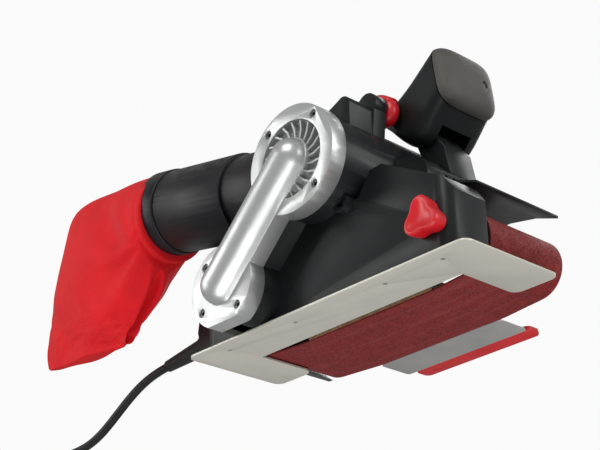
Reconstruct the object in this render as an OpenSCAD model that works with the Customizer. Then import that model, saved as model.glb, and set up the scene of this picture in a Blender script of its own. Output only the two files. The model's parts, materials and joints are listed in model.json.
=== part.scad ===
// Handheld belt sander with a transverse motor, side drive casting and dust bag.
// +X points to the nose, +Y to the open belt side, +Z up; z = 0 is the sanding plane.

/* [Sanding belt] */
// Width of the sanding belt
belt_w = 76; // [60:1:90]
// Thickness of the sanding belt
belt_t = 1.2; // [0.8:0.1:1.5]
// Distance from the origin back to the drive drum axis
drive_back = 110; // [100:1:125]
// Height of the drive drum axis
drive_z = 29.5; // [29:0.5:32]
// Radius over the belt on the drive drum
drive_r = 27; // [24:0.5:27.5]
// Distance from the origin forward to the idler axis
idler_fwd = 80; // [76:1:90]
// Height of the idler axis
idler_z = 24; // [23.5:0.5:26]
// Radius over the belt on the idler drum
idler_r = 21.5; // [18:0.5:22]
// Rear end of the platen, behind the origin
platen_back = 72; // [60:1:75]
// Front end of the platen, ahead of the origin
platen_fwd = 48; // [40:1:52]

/* [Sanding frame and side shoe] */
// Length of the sanding frame
frame_len = 267.7; // [260:0.5:285]
// Rear overhang of the frame behind the origin
frame_back = 150; // [145:1:160]
// Thickness of the sanding frame and the shoe
frame_t = 1.5; // [1:0.1:1.9]
// Outer edge of the frame rail from the belt centre line
frame_out = 85.5; // [84:0.5:92]
// Width of the frame side rail
rail_w = 41.2; // [38:0.1:44]
// Length of the rear crossbar along X
rear_bar = 36.5; // [30:0.5:38]
// Length of the front tab along X
front_tab = 38.2; // [30:0.1:42]
// Reach of the rear crossbar past the centre line
rear_reach = 7.3; // [2:0.1:20]
// Reach of the front tab past the centre line
front_reach = 10.5; // [2:0.1:20]
// Corner radius of the sanding frame
frame_r = 7; // [3:0.5:9]
// Length of the side shoe
shoe_len = 115; // [90:1:125]
// Width of the side shoe plate
shoe_w = 31; // [24:1:36]
// Width of the soft bumper strip
bumper_w = 15.5; // [8:0.5:20]

/* [Motor and casings] */
// Motor axis behind the origin
motor_back = 9.5; // [5:0.5:14]
// Height of the motor axis
motor_z = 99.8; // [99:0.1:106]
// Outer radius of the motor barrel
barrel_r = 39; // [35:0.5:39.5]
// Wall of the motor barrel
barrel_wall = 3; // [2:0.5:4]
// Near end of the barrel from the centre line
barrel_near = 96.3; // [94:0.1:104]
// Far end of the barrel from the centre line
barrel_far = 45; // [43:1:52]
// Depth of the motor end cap
cap_depth = 13; // [12:0.5:18]
// Outer face of the side cover from the centre line
skirt_out = 80; // [78:0.5:84]
// Wall of the side cover
skirt_wall = 2.5; // [1.5:0.5:3.5]
// Height of the top of the deck
deck_z = 60.5; // [59.5:0.1:60.7]
// Thickness of the deck and the chassis plate
deck_t = 2.2; // [1.6:0.1:2.4]

/* [Drive casting] */
// Radius of the upper disc
disc_r = 40.7; // [39.5:0.1:44]
// Radius of the lower disc
low_disc_r = 31; // [27:0.5:33]
// Thickness of both discs
disc_t = 13.5; // [12.5:0.5:16]
// Outer radius of the half-round arm
arm_r = 14.5; // [14:0.5:17]
// Wall of the half-round arm
arm_wall = 2.5; // [1.5:0.5:2.8]
// Outer radius of the vane dish
dish_r = 29; // [24:0.5:31]
// Depth of the vane dish
dish_depth = 6.5; // [4:0.5:7]
// Number of turbine vanes
vane_count = 20; // [8:1:28]
// Countershaft axis behind the origin
counter_back = 84.6; // [84.6:0.1:84.6]

/* [Gears and pulleys] */
// Teeth on the pinion
pinion_teeth = 12; // [12:1:12]
// Teeth on the drive gear
gear_teeth = 36; // [36:1:36]
// Width of the gears
gear_w = 9; // [6:1:10]
// Radius of the motor pulley
motor_pulley_r = 7.05; // [6:0.05:8]
// Radius of the countershaft pulley
counter_pulley_r = 9.4; // [8:0.05:9.6]
// Width of the toothed belt
tooth_belt_w = 8; // [6:0.5:9]

/* [Handles] */
// Width of the rear handle
grip_w = 34; // [28:1:38]
// Width of the front handle
front_w = 60; // [50:1:64]
// Width of the bracket between the cheeks of the front handle
bracket_w = 29; // [20:1:32]
// Front handle pivot ahead of the origin
pivot_fwd = 17; // [15:0.5:19]
// Height of the front handle pivot
pivot_z = 150; // [149:0.5:152]
// Radius of the pivot pin
pivot_pin_r = 4; // [3:0.5:5]

/* [Dust outlet] */
// Distance of the outlet axis from the centre line
duct_off = 60; // [58:0.5:62]
// Height of the outlet axis
duct_z = 123; // [120:1:126]
// Outer radius of the duct
duct_r = 33; // [28:0.5:34]
// Wall of the duct
duct_wall = 3; // [2:0.5:4]
// Upward tilt of the dust outlet in degrees
duct_tilt = 12; // [10:1:14]
// Length of the dust spout
spout_len = 92; // [80:1:100]
// Thickness of the dust bag
bag_t = 62; // [50:1:64]

/* [Cord] */
// Radius of the mains cord
cord_r = 3.5; // [3:0.1:4]

/* [Hidden] */
$fn = 64;

run_fit = 0.05;      // radial clearance of a running shaft
body_gap = 0.3;      // gap between pieces that move past each other
eps = 0.01;          // overlap that makes a cut clean

half_w = belt_w / 2;
drive_x = -drive_back;
idler_x = idler_fwd;
motor_x = -motor_back;
counter_x = -counter_back;
counter_z = drive_z;
belt_in = belt_t;                          // inset of the belt's inner face
drum_out_r = drive_r - belt_t - body_gap;  // outer radius of the drum lagging
lagging_t = 3;
drum_core_r = drum_out_r - lagging_t;
idler_out_r = idler_r - belt_t - body_gap;
frame_fwd = frame_len - frame_back;
frame_in = frame_out - rail_w;

plate_y = half_w + 3;               // belt side face of the chassis plate
plate_t = 3;
plate_out = plate_y + plate_t;      // side cover face of the chassis plate
skirt_in = skirt_out - skirt_wall;
deck_far = half_w + 2;
guard_r = drive_r + 2;              // inner radius of the rear guard
guard_t = 2.5;

disc_face = barrel_near + disc_t;   // outer face of the two discs
disc_floor = barrel_near + 6.7;     // floor of the pulley cavity
arm_in_r = arm_r - arm_wall;
pulley_mid = disc_face + 0.2;       // middle of the toothed belt
arm_dx = motor_x - counter_x;
arm_dz = motor_z - counter_z;
arm_len = norm([arm_dx, arm_dz]);
arm_ang = atan2(arm_dz, arm_dx);

shaft_r = 4;
small_bearing_r = 8;
bearing_w = 6.2;
drum_shaft_r = 6;
drum_bearing_r = 11;
outer_bearing_r = 9;
boss_out = plate_out + 8;           // face of the bearing bosses on the chassis
gear_in = boss_out + 1;             // inner face of the gears
gear_out = gear_in + gear_w;
gear_centres = drive_back - counter_back;
gear_module = 2 * gear_centres / (pinion_teeth + gear_teeth);

axle_r = 5;
bar_in = plate_out + 3;             // inner face of the idler carriage bar
bar_out = bar_in + 10;
bar_h = 12;
lever_x = -30;
lever_z = 30;
knob_x = idler_x + 7;
knob_z = idler_z + 1;

hood_z = 74;                        // top of the hood under the shoulder
shoulder = [[57, 91], [44, 104], [10.5, 112]];

grip_half = grip_w / 2;
cheek_in = bracket_w / 2 + 1;
front_half = front_w / 2;
pivot_x = pivot_fwd;
lever_near = front_half + 1;
lever_w = 13;

duct_y = -duct_off;
port_end = -103;
collar_seat = 14;                   // length of the spigot inside the bag's collar
collar_len = 18.5;
spigot_r = duct_r - 2.6;
handle_rear = -216;
relief_start = [-213, -9, 49];
relief_end = [-262, -9, 45];
relief_dir = relief_end - relief_start;
relief_ang = atan2(-relief_dir[2], -relief_dir[0]);

// Route of the free cord, from the strain relief to the coil
cord_route = [[-262, -9, 45], [-275, -9, 43.6], [-288, -9, 41], [-301, -9, 36.6],
    [-314, -9, 30.4], [-326, -9, 23.6], [-338, -9, 16.8], [-350, -9, 10.8], [-363, -9, 6.4],
    [-377, -9, 4.2], [-392, -9.5, 3.5], [-408, -11, 3.5], [-424, -13.5, 3.5], [-440, -17, 3.5],
    [-453, -21.5, 3.5], [-466, -26.8, 3.5], [-478, -31, 3.5]];
coil_x = -478;
coil_y = -82;
coil_r = 38.5;                      // middle radius of the coil's turns
coil_cols = 3;
coil_rows = 3;
plug_x = coil_x - 51;
plug_y = coil_y - 6;

// ---- helpers ----

// Cylinder along Y between two places
module ycyl(x, z, r, y0, y1, n = 64) {
    translate([x, y0, z]) rotate([-90, 0, 0]) cylinder(r = r, h = y1 - y0, $fn = n);
}

// Ring along Y between two places
module yring(x, z, r_out, r_in, y0, y1) {
    difference() {
        ycyl(x, z, r_out, y0, y1);
        ycyl(x, z, r_in, y0 - 1, y1 + 1);
    }
}

// Outline in the XZ plane carried along Y
module yprism(y0, y1) {
    translate([0, y1, 0]) rotate([90, 0, 0]) linear_extrude(y1 - y0) children();
}

// Box between two corners
module block(a, b) {
    translate(a) cube(b - a);
}

function dir(a) = [cos(a), sin(a)];

// Points along an arc
function arc(c, r, a0, a1, n = 36) = [for (i = [0 : n]) c + r * dir(a0 + (a1 - a0) * i / n)];

// Direction in which a line from p touches a circle, on the side given by s
function touch_dir(c, r, p, s) = let (v = p - c) atan2(v[1], v[0]) + s * acos(r / norm(v));

// Side outline of the belt path, inset by t
module belt_outline(t) {
    c1 = [drive_x, drive_z];
    c2 = [idler_x, idler_z];
    r1 = drive_r - t;
    r2 = idler_r - t;
    p1 = [-platen_back, t];
    p2 = [platen_fwd, t];
    v = c2 - c1;
    up = atan2(v[1], v[0]) + acos((r1 - r2) / norm(v));
    polygon(concat(arc(c1, r1, up, touch_dir(c1, r1, p1, -1) + 360), [p1, p2],
        arc(c2, r2, touch_dir(c2, r2, p2, 1), up)));
}

// Rectangle with rounded corners, from one corner to the other
module round_rect(a, b, r) {
    translate([a[0] + r, a[1]]) square([b[0] - a[0] - 2 * r, b[1] - a[1]]);
    translate([a[0], a[1] + r]) square([b[0] - a[0], b[1] - a[1] - 2 * r]);
    for (x = [a[0] + r, b[0] - r], y = [a[1] + r, b[1] - r]) translate([x, y]) circle(r);
}

// Outline of a gear: straight-sided teeth on the root circle
module gear_outline(teeth, phase) {
    pr = gear_module * teeth / 2;
    tip = pr + 0.8 * gear_module;
    root = pr - 1.2 * gear_module;
    wr = 52 / teeth * 1.5;
    wt = 18 / teeth * 1.5;
    polygon([for (i = [0 : teeth - 1]) for (k = [[-wr, root], [-wt, tip], [wt, tip], [wr, root]])
        k[1] * dir(phase + 360 * i / teeth + k[0])]);
}

// Tube swept along a list of points: one ring of sides per point
module swept_tube(pts, r, sides = 8) {
    n = len(pts);
    rings = [for (i = [0 : n - 1])
        let (a = pts[max(i - 1, 0)], b = pts[min(i + 1, n - 1)], t = (b - a) / norm(b - a),
            u0 = cross(t, abs(t[2]) < 0.9 ? [0, 0, 1] : [1, 0, 0]), u = u0 / norm(u0), w = cross(u, t))
        for (k = [0 : sides - 1]) pts[i] + r * (cos(360 * k / sides) * u + sin(360 * k / sides) * w)];
    faces = concat(
        [[for (k = [0 : sides - 1]) k]],
        [[for (k = [sides - 1 : -1 : 0]) (n - 1) * sides + k]],
        [for (i = [0 : n - 2]) for (k = [0 : sides - 1])
            [i * sides + k, (i + 1) * sides + k, (i + 1) * sides + (k + 1) % sides, i * sides + (k + 1) % sides]]);
    polyhedron(points = rings, faces = faces, convexity = 6);
}

// ---- sanding side ----

module sanding_frame() {
    color("#b4b1a3") difference() {
        linear_extrude(frame_t) difference() {
            union() {
                round_rect([-frame_back, -frame_out], [frame_fwd, -frame_in], frame_r);
                round_rect([-frame_back, -frame_out], [-frame_back + rear_bar, rear_reach], frame_r);
                round_rect([frame_fwd - front_tab, -frame_out], [frame_fwd, front_reach], frame_r);
            }
        }
        for (x = [drive_x - 8, -platen_back + 22, platen_fwd - 12, knob_x])
            translate([x, -(skirt_out - 8), -eps]) cylinder(r = 1.7, h = frame_t + 1);
    }
}

module side_shoe() {
    color("#b4b1a3") linear_extrude(frame_t)
        round_rect([-platen_back - 1, half_w + 1], [shoe_len - platen_back - 1, half_w + 1 + shoe_w], 3);
}

module shoe_bumper() {
    y0 = half_w + 1 + shoe_w;
    color("#d81f26") linear_extrude(3 * frame_t)
        round_rect([-platen_back + 5, y0], [shoe_len - platen_back, y0 + bumper_w], 5);
}

module shoe_bracket() {
    z1 = pad_top() + frame_t;
    color("#8f8f8c") for (x = [-platen_back + 14, shoe_len - platen_back - 32]) {
        block([x, half_w - 8, z1], [x + 18, half_w + 24, z1 + 2]);
        block([x, half_w + 4, frame_t], [x + 18, half_w + 24, z1]);
    }
}

module sanding_belt() {
    color("#7a1c1e") yprism(-half_w, half_w) difference() {
        belt_outline(0);
        belt_outline(belt_t);
    }
}

function pad_top() = belt_t + 1.5;

module cork_pad() {
    color("#3a3a3c") block([-platen_back + 1, -half_w, belt_t], [platen_fwd - 1, half_w - 1, pad_top()]);
}

module platen() {
    color("#9a9a9a") block([-platen_back + 1, -plate_y, pad_top()], [platen_fwd - 1, half_w - 1, pad_top() + frame_t]);
}

// ---- casings ----

module chassis() {
    shelf = pad_top() + frame_t;
    top = deck_z - deck_t;
    color("#3b3d40") difference() {
        union() {
            yprism(-plate_out, -plate_y) polygon([[drive_x - 22, 8], [-platen_back, shelf], [60, shelf],
                [60, top], [drive_x, top], [drive_x - 22, 50]]);
            block([drive_x, -plate_out, top], [40, deck_far, deck_z]);
            difference() {
                yring(drive_x, drive_z, guard_r + guard_t, guard_r, -plate_out, deck_far);
                block([drive_x, -plate_out - 1, -10], [drive_x + 60, deck_far + 1, 80]);
                block([drive_x - 60, -plate_out - 1, -10], [drive_x + 60, deck_far + 1, 4]);
            }
            for (x = [-platen_back + 6, platen_fwd - 12])
                block([x, -plate_y, shelf], [x + 6, half_w - 10, shelf + 9]);
            ycyl(drive_x, drive_z, drum_bearing_r + 2.5, -boss_out, -plate_out);
            ycyl(counter_x, counter_z, small_bearing_r + 2, -boss_out, -plate_out);
            ycyl(lever_x, lever_z, 8, -plate_y, -half_w + 16);
            for (s = [1, -1])
                translate([22, -bar_out, idler_z + s * (bar_h / 2 + body_gap + 2) - 2])
                    cube([36, bar_out - plate_out, 4]);
            block([-22, -bar_out, idler_z - 8], [-18, -plate_out, idler_z + 8]);
        }
        ycyl(drive_x, drive_z, drum_bearing_r, -boss_out - 1, -plate_out);
        ycyl(drive_x, drive_z, drum_shaft_r + 2, -boss_out, 0);
        ycyl(counter_x, counter_z, small_bearing_r, -boss_out - 1, -plate_out);
        ycyl(lever_x, lever_z, 4 + run_fit, -plate_out - 1, 0);
    }
}

// Side outline of the side cover, inset by t on its free edges
module skirt_outline(t) {
    polygon([[drive_x - 28 + t, frame_t + t], [idler_x + 23 - t, frame_t + t], [idler_x + 24 - t, 44],
        [idler_x + 18 - t, 54 - t / 2], [47 - t / 2, 83 - t], [36 + t / 2, 82 - t], [24 + t / 2, 66 - t],
        [-60, 66 - t], [drive_x - 8 + t, deck_z - t], [drive_x - 28 + t, 42]]);
}

module side_cover() {
    r = 12;
    x0 = drive_x - 28;
    x1 = idler_x + 24;
    color("#1b1d1f") difference() {
        union() {
            difference() {
                intersection() {
                    yprism(-skirt_out, -plate_out) skirt_outline(0);
                    linear_extrude(120) union() {
                        round_rect([x0, -skirt_out], [x1, -plate_out], r);
                        translate([x0, -skirt_out + r]) square([x1 - x0, skirt_out - plate_out - r]);
                    }
                }
                intersection() {
                    yprism(-skirt_in, -plate_out + 1) skirt_outline(skirt_wall);
                    linear_extrude(120) union() {
                        round_rect([x0 + skirt_wall, -skirt_in], [x1 - skirt_wall, -plate_out + 1], r - skirt_wall);
                        translate([x0 + skirt_wall, -skirt_in + r])
                            square([x1 - x0 - 2 * skirt_wall, skirt_in - plate_out - r + 1]);
                    }
                }
            }
            ycyl(drive_x, drive_z, outer_bearing_r + 3, -skirt_in - 1, -gear_out - 3);
            ycyl(knob_x, knob_z, 7, -skirt_in - 1, -skirt_in + 8);
            difference() {
                ycyl(counter_x, counter_z, low_disc_r - 0.5, -barrel_near, -skirt_in);
                ycyl(counter_x, counter_z, low_disc_r - 3, -barrel_near - 1, -skirt_in - skirt_wall);
                block([counter_x - 50, -barrel_near - 1, -20], [counter_x + 50, -skirt_in + 1, frame_t + 0.5]);
            }
            ycyl(motor_x + 21.5, motor_z - 34.8, 7, -skirt_out - 6, -skirt_in);
            yprism(-barrel_near, -skirt_in) difference() {
                arm_outline(-1);
                arm_outline(-1 - skirt_wall);
            }
        }
        ycyl(motor_x, motor_z, barrel_r + eps, -barrel_near - 1, 0, 128);
        ycyl(motor_x + 21.5, motor_z - 34.8, 3.3, -skirt_out - 7, -skirt_in - 1);
        ycyl(drive_x, drive_z, outer_bearing_r, -gear_out - 9, -gear_out);
        ycyl(counter_x, counter_z, small_bearing_r + 2, -barrel_near - 1, -skirt_in + 1);
        ycyl(knob_x, knob_z, 3 + run_fit, -skirt_out - 1, -skirt_in + 9);
    }
}

// Outline of the arm between the two shaft axes, grown by g
module arm_outline(g) {
    translate([counter_x, counter_z]) rotate(arm_ang) translate([0, -arm_r - g]) square([arm_len, 2 * (arm_r + g)]);
}

// Outline round the two shaft axes with radius r1 at the countershaft and r2 at the motor
module axes_loop(r1, r2, n = 36) {
    b = acos((r1 - r2) / arm_len);
    polygon(concat(arc([counter_x, counter_z], r1, arm_ang + b, arm_ang - b + 360, n),
        arc([motor_x, motor_z], r2, arm_ang - b, arm_ang + b, n)));
}

// Half-round dome of the arm with rounded ends, standing out of the disc faces
module arm_dome(r) {
    hull() for (a = [0, 15, 30, 45, 60, 75, 86])
        yprism(-disc_face - r * sin(a) - eps, -disc_face) axes_loop(r * cos(a), r * cos(a), 12);
}

module belt_hood() {
    x1 = idler_x + 19;
    color("#1d1c1c") yprism(-plate_out, deck_far + 4) polygon([[30, deck_z], [30, hood_z], [57, hood_z],
        [idler_x, 69.5], [x1, 62], [x1, 59.5], [idler_x, 66.5], [57, 71], [34, 71], [34, deck_z]]);
}

module motor_housing() {
    web_y0 = -skirt_out;
    web_y1 = -lever_near - lever_w - 1;
    color("#1b1d1f") difference() {
        union() {
            ycyl(motor_x, motor_z, barrel_r, -barrel_near, barrel_far, 128);
            yprism(-plate_out, deck_far) polygon([[motor_x - 32, deck_z], [motor_x + 32, deck_z],
                [motor_x + 37, motor_z], [motor_x - 37, motor_z]]);
            yprism(-plate_out, deck_far + 4) polygon([[motor_x + 20, hood_z], [57, hood_z],
                shoulder[0], shoulder[1], shoulder[2]]);
            yprism(web_y0, web_y1 - 12) union() {
                translate([pivot_x - 2, pivot_z - 7.5]) circle(6.5);
                polygon([[pivot_x + 4.3, pivot_z - 8], [pivot_x - 5.4, pivot_z - 2.1], [motor_x - 16, motor_z + 33],
                    [motor_x + 30, motor_z + 20]]);
            }
            yprism(web_y1 - 12 - eps, web_y1) union() {
                translate([pivot_x, pivot_z]) circle(9);
                polygon([[pivot_x + 7, pivot_z - 6], [pivot_x - 3, pivot_z + 8.5], [motor_x - 16, motor_z + 33],
                    [motor_x + 30, motor_z + 20]]);
            }
        }
        ycyl(motor_x, motor_z, barrel_r - barrel_wall, -barrel_near - 1, barrel_far + 1, 128);
        ycyl(pivot_x, pivot_z, pivot_pin_r, web_y1 - 12, web_y1 + 1);
        on_duct(-85) cylinder(r = 20, h = 86);
        for (s = [-24 : 8 : 24]) block([motor_x + 38, s - 2, 78], [60, s + 2, 88]);
    }
}

module motor_end_cap() {
    y0 = barrel_far;
    y1 = barrel_far + cap_depth;
    color("#232527") difference() {
        union() {
            difference() {
                ycyl(motor_x, motor_z, barrel_r, y0, y1 - 4, 128);
                ycyl(motor_x, motor_z, barrel_r - barrel_wall, y0 - 1, y1 - 4 - eps, 128);
            }
            translate([motor_x, y1 - 4, motor_z]) rotate([-90, 0, 0]) cylinder(r1 = barrel_r, r2 = barrel_r - 4, h = 4, $fn = 128);
            ycyl(motor_x, motor_z, small_bearing_r + 3, y0 + 1, y1 - 4);
        }
        ycyl(motor_x, motor_z, small_bearing_r, y0, y0 + 1 + bearing_w);
        for (a = [0 : 30 : 330]) translate([motor_x, 0, motor_z]) rotate([0, a, 0])
            block([15, y1 - 6, -2], [31, y1 + 1, 2]);
    }
}

// ---- side drive casting ----

module drive_cover() {
    cut_z = frame_t + 0.5;
    color("#c3c6c9") difference() {
        union() {
            ycyl(motor_x, motor_z, disc_r, -disc_face, -barrel_near, 128);
            ycyl(counter_x, counter_z, low_disc_r, -disc_face, -barrel_near, 128);
            yprism(-disc_face, -barrel_near) arm_outline(0.3);
            arm_dome(arm_r);
        }
        // Dish round the upper shaft, with the arm left standing across it
        difference() {
            ycyl(motor_x, motor_z, dish_r, -disc_face - 1, -disc_face + dish_depth, 96);
            yprism(-disc_face - 2, 0) axes_loop(arm_r + 1, arm_r + 1);
        }
        // Cavity for the pulleys and the toothed belt
        arm_dome(arm_in_r);
        yprism(-disc_face, -disc_floor) axes_loop(arm_in_r + 0.4, arm_in_r + 0.4);
        for (c = [[counter_x, counter_z], [motor_x, motor_z]])
            ycyl(c[0], c[1], small_bearing_r, -disc_floor - 1, -barrel_near + 1);
        for (p = screw_places()) ycyl(p[0], p[1], 3.2, -disc_face - 1, -disc_face + 5);
        block([counter_x - 60, -disc_face - 30, -20], [counter_x + 60, -barrel_near + 1, cut_z]);
    }
}

// Centres of the cover screws on both discs
function screw_places() = concat(
    [for (a = [48, 128, 308]) [motor_x, motor_z] + (disc_r + dish_r) / 2 * dir(a)],
    [for (a = [130, 215, 310]) [counter_x, counter_z] + (low_disc_r - 6) * dir(a)]);

module vane_ring() {
    y1 = -disc_face + dish_depth;
    r0 = arm_r + 1.3;
    r1 = dish_r - 1.4;
    color("#b9bdc2") difference() {
        for (i = [0 : vane_count - 1]) yprism(y1 - dish_depth + 1, y1) rotate_about(motor_x, motor_z, 360 * i / vane_count)
            polygon([[r0, 0], [(r0 + r1) / 2, 2.2], [r1, 7], [r1 - 1, 8], [(r0 + r1) / 2 - 0.6, 3.6], [r0, 1.2]]);
        yprism(-disc_face - 1, 0) arm_outline(1.3);
    }
}

// Turns a side outline about a shaft axis
module rotate_about(x, z, a) {
    translate([x, z]) rotate(a) children();
}

module cover_screws() {
    color("#2e3033") for (p = screw_places()) difference() {
        ycyl(p[0], p[1], 3.1, -disc_face + 1.2, -disc_face + 5, 32);
        yprism(-disc_face, -disc_face + 3) translate(p) circle(1.6, $fn = 6);
    }
}

module toothed_belt() {
    y0 = -pulley_mid - tooth_belt_w / 2;
    color("#202224") yprism(y0, y0 + tooth_belt_w) difference() {
        axes_loop(counter_pulley_r + body_gap + 1, motor_pulley_r + body_gap + 1);
        axes_loop(counter_pulley_r + body_gap, motor_pulley_r + body_gap);
    }
}

// Toothed pulley with grooves across its rim
module pulley(x, z, r, teeth) {
    y0 = -pulley_mid - tooth_belt_w / 2;
    color("#9fa3a8") difference() {
        ycyl(x, z, r, y0, y0 + tooth_belt_w);
        ycyl(x, z, shaft_r, y0 - 1, y0 + tooth_belt_w + 1);
        for (i = [0 : teeth - 1]) yprism(y0 - 1, y0 + tooth_belt_w + 1) rotate_about(x, z, 360 * i / teeth)
            translate([r - 0.7, -0.6]) square([2, 1.2]);
    }
}

module motor_pulley() {
    pulley(motor_x, motor_z, motor_pulley_r, 18);
}

module counter_pulley() {
    pulley(counter_x, counter_z, counter_pulley_r, 24);
}

// ---- motor ----

module rotor_shaft() {
    color("#a8acb0") ycyl(motor_x, motor_z, shaft_r, -pulley_mid - tooth_belt_w / 2, barrel_far + bearing_w);
}

module armature() {
    color("#7c6a4a") difference() {
        ycyl(motor_x, motor_z, 19, -34, 10);
        ycyl(motor_x, motor_z, shaft_r, -40, 20);
        for (a = [0 : 30 : 330]) yprism(-35, 11) rotate_about(motor_x, motor_z, a)
            translate([15.5, -0.8]) square([6, 1.6]);
    }
}

module commutator() {
    color("#b87333") yring(motor_x, motor_z, 11, shaft_r, 16, 32);
}

module cooling_fan() {
    y0 = -barrel_near + 4;
    color("#2c2e30") difference() {
        union() {
            ycyl(motor_x, motor_z, 31, y0 + 9, y0 + 11);
            ycyl(motor_x, motor_z, 8, y0, y0 + 11);
            for (a = [0 : 30 : 330]) yprism(y0 + 1, y0 + 9 + eps) rotate_about(motor_x, motor_z, a)
                polygon([[9, -0.8], [31, 3], [31, 4.6], [9, 0.8]]);
        }
        ycyl(motor_x, motor_z, shaft_r, y0 - 1, y0 + 12);
    }
}

module motor_bearings() {
    color("#b5b8bb") {
        yring(motor_x, motor_z, small_bearing_r, shaft_r + run_fit, -barrel_near - bearing_w, -barrel_near);
        yring(motor_x, motor_z, small_bearing_r, shaft_r + run_fit, barrel_far + 1, barrel_far + 1 + bearing_w);
    }
}

module stator() {
    color("#8a8d90") difference() {
        ycyl(motor_x, motor_z, barrel_r - barrel_wall, -32, 8, 128);
        ycyl(motor_x, motor_z, 19.6, -33, 9);
        for (s = [1, -1]) block([motor_x + s * 27 - 5, -33, motor_z - 12], [motor_x + s * 27 + 5, 9, motor_z + 12]);
    }
}

module brush_gear() {
    rim = barrel_r - barrel_wall - 0.5;
    color("#8c6d3a") for (s = [0, 180]) translate([motor_x, 0, motor_z]) rotate([0, s, 0]) {
        block([-5, 19, 18], [5, 29, rim]);
        block([-3, 21, 11 + body_gap], [3, 27, 18]);
    }
}

// ---- gear train and drums ----

module counter_shaft() {
    color("#a8acb0") ycyl(counter_x, counter_z, shaft_r, -pulley_mid - tooth_belt_w / 2, -plate_out - 1);
}

module pinion() {
    color("#8d9094") yprism(-gear_out, -gear_in) translate([counter_x, counter_z]) difference() {
        gear_outline(pinion_teeth, 180 / pinion_teeth);
        circle(shaft_r);
    }
}

module counter_bearings() {
    color("#b5b8bb") {
        yring(counter_x, counter_z, small_bearing_r, shaft_r + run_fit, -barrel_near - bearing_w, -barrel_near);
        yring(counter_x, counter_z, small_bearing_r, shaft_r + run_fit, -boss_out + 0.5, -plate_out);
    }
}

module drive_shaft() {
    color("#a8acb0") ycyl(drive_x, drive_z, drum_shaft_r, -gear_out - 8.5, half_w + 3);
}

module drive_gear() {
    color("#8d9094") yprism(-gear_out, -gear_in) translate([drive_x, drive_z]) difference() {
        gear_outline(gear_teeth, 0);
        circle(drum_shaft_r);
        for (a = [0 : 60 : 300]) rotate(a + 30) translate([11.5, 0]) circle(3);
    }
}

module drive_drum() {
    color("#9b9ea2") difference() {
        ycyl(drive_x, drive_z, drum_core_r, -half_w, half_w, 96);
        ycyl(drive_x, drive_z, drum_shaft_r, -half_w - 1, half_w + 1);
        difference() {
            ycyl(drive_x, drive_z, drum_core_r - 4, half_w - 14, half_w + 1);
            ycyl(drive_x, drive_z, drum_shaft_r + 4, half_w - 15, half_w + 2);
        }
    }
}

module drum_lagging() {
    color("#26282a") yring(drive_x, drive_z, drum_out_r, drum_core_r, -half_w, half_w);
}

module drum_bearings() {
    color("#b5b8bb") {
        yring(drive_x, drive_z, drum_bearing_r, drum_shaft_r + run_fit, -boss_out + 0.5, -plate_out);
        yring(drive_x, drive_z, outer_bearing_r, drum_shaft_r + run_fit, -gear_out - 9, -gear_out - 3);
    }
}

module idler_carriage() {
    z0 = idler_z - bar_h / 2;
    color("#7d8084") difference() {
        union() {
            block([14, -bar_out, z0], [idler_x, -bar_in, z0 + bar_h]);
            ycyl(idler_x, idler_z, 9, -bar_out, -bar_in);
            ycyl(idler_x, idler_z, 8, -bar_in, -half_w - 1);
        }
        ycyl(idler_x, idler_z, axle_r, -bar_out - 1, 0);
    }
}

module idler_axle() {
    color("#a8acb0") {
        ycyl(idler_x, idler_z, axle_r, -bar_out, half_w + 1);
        ycyl(idler_x, idler_z, axle_r + 3, half_w + 1, half_w + 3);
    }
}

module idler_drum() {
    color("#b0b3b6") yring(idler_x, idler_z, idler_out_r, 11, -half_w, half_w);
}

module idler_bearings() {
    color("#b5b8bb") for (y = [-half_w, half_w - 8]) yring(idler_x, idler_z, 11, axle_r + run_fit, y, y + 8);
}

module tension_spring() {
    x0 = -17.4;
    x1 = 12.9;
    turns = 6;
    color("#7d8084") swept_tube([for (i = [0 : turns * 9]) [x0 + (x1 - x0) * i / (turns * 9),
        -(bar_in + bar_out) / 2 + 4 * cos(40 * i), idler_z + 4 * sin(40 * i)]], 0.6, 6);
}

module release_lever() {
    y1 = deck_far + 2;
    color("#a5a8ab") {
        ycyl(lever_x, lever_z, 4, -plate_out - 4, y1 + 5);
        yprism(y1, y1 + 5) union() {
            translate([lever_x, lever_z]) circle(7);
            translate([lever_x, lever_z - 4]) square([40, 8]);
            translate([lever_x + 40, lever_z]) circle(5.5);
        }
        yprism(-plate_out - 4, -plate_out - body_gap) union() {
            translate([lever_x, lever_z]) circle(6);
            translate([lever_x, lever_z - 3]) square([6, 6]);
        }
    }
}

module tracking_knob() {
    y0 = -skirt_out - 13;
    color("#d81f26") difference() {
        yprism(y0, -skirt_out - 0.5) union() {
            translate([knob_x, knob_z]) circle(11.5);
            for (a = [90, 210, 330]) translate([knob_x, knob_z] + 9.5 * dir(a)) circle(6);
        }
        ycyl(knob_x, knob_z, 3, y0 + 4, -skirt_out);
    }
}

module tracking_screw() {
    color("#a8acb0") ycyl(knob_x, knob_z, 3, -skirt_out - 9, -bar_out - 1);
}

// ---- rear handle ----

// Side outline of the D-shaped rear handle
module handle_outline() {
    difference() {
        polygon([[-25, 125], [-38, 144], [-62, 153], [-135, 152], [-172, 138], [-198, 112], [-211, 80],
            [handle_rear, 58], [-213, 42], [-200, 33], [-128, 33], [-112, 62], [-112, deck_z]]);
        polygon([[-20, 118], [-60, 127], [-135, 126], [-158, 117], [-176, 98], [-184, 78], [-176, 64],
            [-150, deck_z - 0.5], [-100, deck_z - 0.5], [-20, deck_z - 0.5]]);
    }
}

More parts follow.
